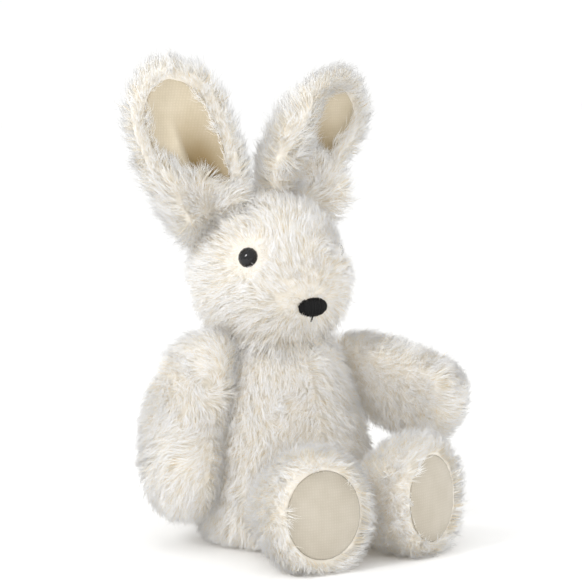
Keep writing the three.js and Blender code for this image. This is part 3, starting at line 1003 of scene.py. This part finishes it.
# %% Linings with their folds
LOBE = 3.2 * MM
for side in SIDES:
    node = f"ear_lining_{side}"
    lining = remeshed(joined_copy(f"ear_leaf_{side}", [node]), 0.8 * MM)
    spots = points_of(lining)
    place, front = lining_place(node, spots)
    across, along = place.T
    lower = 1 - rising(along, -0.1, 0.6)
    fold_line = -0.18 if side == "right" else -0.05
    drop = 1 - rising(across, fold_line - 0.12, fold_line + 0.1)
    lobe = rising(across, -0.95, fold_line - 0.15) * drop
    height = LOBE * lobe * lower + 0.5 * MM * wander(spots, 26 * MM, 5)[:, 0]
    spots += front * height[:, None]
    move_points(lining, spots)
    # The painted shade of the fold is darkest beside the lobe, and fades towards the inner rim
    # and the tip.
    depth = rising(across, fold_line - 0.08, fold_line + 0.12)
    depth *= 1 - 0.6 * rising(across, 0.2, 0.9)
    depth *= 1 - rising(along, -0.5, 0.65)
    # This painted fold shade goes to the velour as the attribute fold.
    fold_shade_values = lining.data.attributes.new("fold", "FLOAT", "POINT")
    fold_shade_values.data.foreach_set("value", depth.astype(np.float32))
    given(lining, f"{side}_ear", LINING_VELOUR, node)
    print(node, len(lining.data.polygons), "faces, folds up to", round(height.max() / MM, 1), "mm")

# %% [markdown]
# ## Eyes and nose
#
# The eyes are safety eyes: glossy black domes of moulded plastic, pressed through the fabric
# onto a washer. The CAD domes are right, so they keep their meshes and get the plastic. The
# nose and the mouth are sewn with black rayon thread.

# %% Plastic and thread
# Polished plastic is nearly a mirror, so that the eye shows a small sharp highlight.
plastic, _, _ = material(
    "moulded_black_plastic", "050506", Roughness=0.07, Specular_IOR_Level=0.5
)
# The washers are behind the fabric: clear nylon looks whitish, with a soft gloss.
washer, _, _ = material("clear_nylon_washer", "d8d6cf", Roughness=0.35)
# Thread is made of fine parallel fibres, which spread its gloss to a dull shine.
thread, thread_tree, thread_surface = material(
    "black_rayon_thread", "060607", Roughness=0.55, Specular_IOR_Level=0.25
)
place = add(thread_tree, "ShaderNodeTexCoord").outputs["Object"]
# The thread's twist is finer than the view can show: it is drawn with a noise of 1 mm grains.
twist = add(thread_tree, "ShaderNodeTexNoise", links={"Vector": place}, Scale=1000.0, Detail=2.0)
grain = add(thread_tree, "ShaderNodeBump", links={"Height": twist.outputs["Fac"]}, Strength=0.3)
grain.inputs["Distance"].default_value = 0.1 * MM
thread_tree.links.new(grain.outputs["Normal"], thread_surface.inputs["Normal"])
for side in SIDES:
    for node, made in ((f"eye_{side}", plastic), (f"eye_washer_{side}", washer)):
        frame["nodes"][node].data.materials.clear()
        frame["nodes"][node].data.materials.append(made)
eye_low, eye_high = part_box("eye_right")
print(f"an eye is {(eye_high.z - eye_low.z) / MM:.1f} mm high, in {plastic.name}")

# %% [markdown]
# ## Satin stitches
#
# A satin stitch is a thread laid over the muzzle from edge to edge, and the next one lies against
# it. A texture on an oval would look flat at its rim, so each stitch is a tube of its own, along a
# line that swells over the padding. Small random shifts of each stitch make the rim ragged.


# %% Round threads
def tubes(name, lines, radius, sides=6):
    """Closed round tubes along lines, each line a row of points.

    At step s of a line, from -1 to 1, sides corners stand around it at radius times the root of
    1 - s^6, so that each tube tapers to a point at its ends."""
    along = unit(np.gradient(lines, axis=1))
    side = unit(np.cross(along, [0.3, 1.0, 0.2]))
    up = np.cross(along, side)
    turn = np.arange(sides) * 2 * np.pi / sides
    steps = lines.shape[1]
    taper = np.sqrt(np.clip(1 - np.linspace(-1, 1, steps) ** 6, 0, 1))[None, :, None, None]
    ring = np.cos(turn)[:, None] * side[:, :, None] + np.sin(turn)[:, None] * up[:, :, None]
    points = (lines[:, :, None] + radius * taper * ring)[:, 1:-1]
    count, rows = points.shape[:2]
    ends = np.stack([lines[:, 0], lines[:, -1]], 1)
    grid = np.arange(count * rows * sides).reshape(count, rows, sides)
    spin = np.roll(grid, -1, 2)
    quads = np.stack([grid[:, :-1], spin[:, :-1], spin[:, 1:], grid[:, 1:]], -1).reshape(-1, 4)
    pole = count * rows * sides + 2 * np.arange(count)[:, None] + np.zeros(sides, int)
    first = np.stack([pole, spin[:, 0], grid[:, 0]], -1).reshape(-1, 3)
    last = np.stack([pole + 1, grid[:, -1], spin[:, -1]], -1).reshape(-1, 3)
    return new_piece(
        name,
        np.concatenate([points.reshape(-1, 3), ends.reshape(-1, 3)]),
        [quads, np.concatenate([first, last])],
    )


print("threads are drawn as six-sided tubes")

# %% Nose and mouth
STITCHES = 44
low, high = (np.array(corner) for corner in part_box("nose_stitching"))
half = (high - low) / 2
rows = np.linspace(-0.97, 0.97, STITCHES)
reach = np.sqrt(1 - rows**2) * DRAWS.uniform(0.93, 1.14, len(rows)) + 0.05
t = np.linspace(-1, 1, 15)
x = rows[:, None] * half[0] * 1.08 + 0.15 * MM * DRAWS.normal(size=(STITCHES, 1)) * t
z = reach[:, None] * t * half[2]
# The stitches lie over a padded oval: its front is a half ellipsoid, and their ends dip in.
swell = np.sqrt(np.clip(1 - (rows[:, None] ** 2 * 0.92 + (z / half[2]) ** 2 * 0.8), 0.02, 1))
y = high[1] - (0.25 + 0.85 * swell) * (high[1] - low[1])
y = y + 0.12 * MM * DRAWS.normal(size=(STITCHES, 1))
lines = np.stack([x + NOSE[0], y + 0 * x, z + NOSE[2]], -1)
nose = tubes("nose_satin_stitches", lines, 0.36 * MM)
given(nose, "head", thread, "nose_stitching")
# The mouth is two threads side by side, from under the nose down.
top = np.array([NOSE[0], low[1] + 2.2 * MM, low[2] + 0.6 * MM])
bottom = middle("mouth_stitch") + [0, 0.4 * MM, 0.6 * MM]
down = np.linspace(0, 1, 9)[:, None]
lines = np.stack([top + (bottom - top) * down + [0.22 * MM * k, 0, 0] for k in (-1, 1)])
mouth = tubes("mouth_thread", lines, 0.3 * MM)
given(mouth, "head", thread, "mouth_stitch")
print("nose half sizes", (half / MM).round(1), "mm, mouth", (top - bottom).round(4), "m long")

# %% [markdown]
# ## Floor and camera
#
# The toy sits on a plain white floor. The camera stands low and to the toy's right, a good way
# off with a long lens, which keeps the feet from looking too large.

# %% Floor and camera
floor_mesh = new_piece(
    "floor",
    np.array([[-3, -3, 0], [3, -3, 0], [3, 3, 0], [-3, 3, 0]], float),
    [np.array([[0, 1, 2, 3]])],
)
floor_paint, _, _ = material("floor_paint", "ffffff", Roughness=0.9)
floor_mesh.data.materials.append(floor_paint)

camera = bpy.data.objects.new("camera", bpy.data.cameras.new("camera"))
scene.collection.objects.link(camera)
scene.camera = camera
AZIMUTH = math.radians(-32)
ELEVATION = math.radians(7.5)
DISTANCE = 1.7
AIM = Vector((4.8, 0, 145.5)) * MM
back = Vector(
    (
        math.sin(AZIMUTH) * math.cos(ELEVATION),
        -math.cos(AZIMUTH) * math.cos(ELEVATION),
        math.sin(ELEVATION),
    )
)
camera.location = AIM + back * DISTANCE
camera.rotation_euler = back.to_track_quat("Z", "Y").to_euler()
camera.data.sensor_width = 36
camera.data.lens = 180.4
print("camera at", [round(x, 3) for x in camera.location])

# %% [markdown]
# ## Studio light
#
# White fabric shows its form by soft shade only, so a bright white surround gives most of the
# light, and large area lights add a little from the sides and from above. A narrow one stands
# for a window, which is what the eyes reflect. The standard view transform keeps whites white.


# %% Studio light
def softbox(name, place, width, height, power):
    """An area light that faces the rabbit's middle. Sizes are in metres and power in watts."""
    lamp = bpy.data.objects.new(name, bpy.data.lights.new(name, "AREA"))
    lamp.data.shape = "RECTANGLE"
    lamp.data.size = width
    lamp.data.size_y = height
    lamp.data.energy = power
    lamp.location = place
    lamp.rotation_euler = (Vector(place) - AIM).to_track_quat("Z", "Y").to_euler()
    scene.collection.objects.link(lamp)


softbox("key", (-1.0, -1.0, 1.3), 0.9, 0.9, 0.6)
softbox("fill", (1.2, -0.9, 0.6), 1.2, 1.2, 2.3)
softbox("top", (0, 0.3, 1.6), 1.0, 1.0, 0.7)
softbox("window", (-1.05, -0.30, 0.85), 0.13, 0.45, 5)
world = bpy.data.worlds.new("studio")
scene.world = world
world.use_nodes = True
world.node_tree.nodes["Background"].inputs["Color"].default_value = (1, 1, 0.995, 1)
world.node_tree.nodes["Background"].inputs["Strength"].default_value = 1.02
scene.view_settings.view_transform = "Standard"
